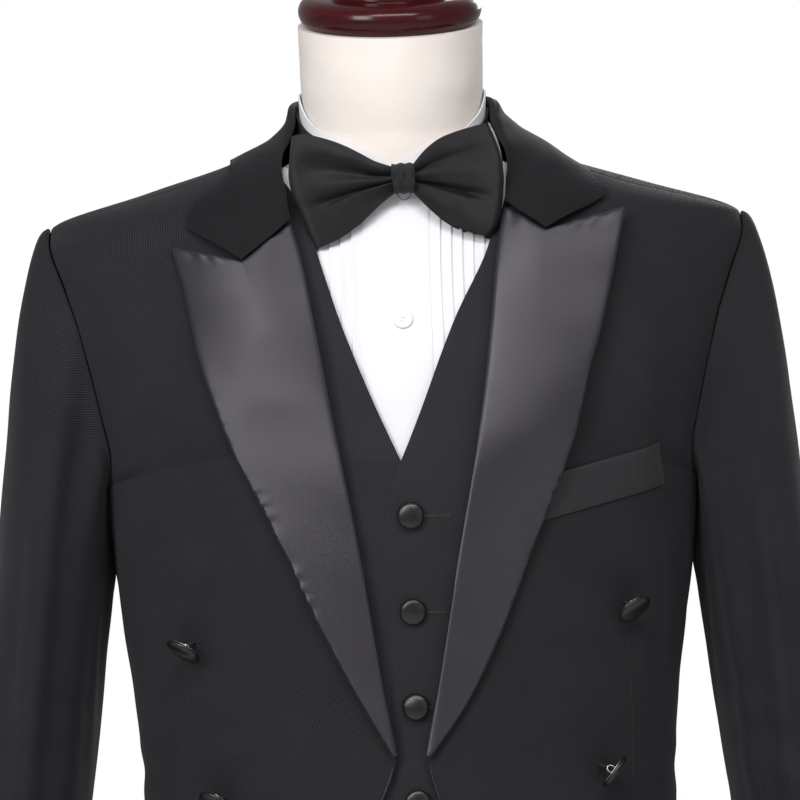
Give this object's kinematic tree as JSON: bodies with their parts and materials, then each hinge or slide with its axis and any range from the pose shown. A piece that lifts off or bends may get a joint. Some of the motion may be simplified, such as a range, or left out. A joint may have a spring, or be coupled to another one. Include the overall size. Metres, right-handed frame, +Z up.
{
  "type": "tailcoat suit on dress form",
  "caption": "Black evening tailcoat with satin peaked lapels over a waistcoat, pleated shirt front and bow tie, with trousers, on a limbless dress form with a stand.",
  "frame": {"origin": "centre of the stand's underside", "axes": "+Z up, the front of the suit faces -Y, the wearer's left is +X"},
  "size_m": [0.5974, 0.38, 1.6539],
  "materials": {
    "wool": "fine black twill",
    "satin": "black satin with a soft sheen",
    "shirt_cotton": "white cotton",
    "form_linen": "cream linen stretched over the form",
    "wood": "dark red gloss lacquer",
    "steel": "brushed",
    "pearl_button": "polished"
  },
  "bodies": {
    "root": {"bow_band": "satin", "bow_knot": "satin", "bow_wing_left": "satin", "bow_wing_right": "satin", "coat_back_left": "wool", "coat_back_right": "wool", "coat_breast_welt": "satin", "coat_button_left_1": "satin", "coat_button_left_2": "satin", "coat_button_right_1": "satin", "coat_button_right_2": "satin", "coat_collar": "wool", "coat_front_left": "wool", "coat_front_right": "wool", "coat_lapel_left": "satin", "coat_lapel_right": "satin", "coat_side_left": "wool", "coat_side_right": "wool", "coat_skirt_left": "wool", "coat_skirt_right": "wool", "coat_sleeve_left": "wool", "coat_sleeve_right": "wool", "form_body": "form_linen", "form_cap": "wood", "shirt_button": "pearl_button", "shirt_collar": "shirt_cotton", "shirt_front": "shirt_cotton", "stand_base": "steel", "stand_pole": "steel", "trouser_leg_left": "wool", "trouser_leg_right": "wool", "vest_back": "wool", "vest_button_1": "satin", "vest_button_2": "satin", "vest_button_3": "satin", "vest_button_4": "satin", "vest_button_5": "satin", "vest_front_left": "wool", "vest_front_right": "wool"}
  },
  "joints": []
}
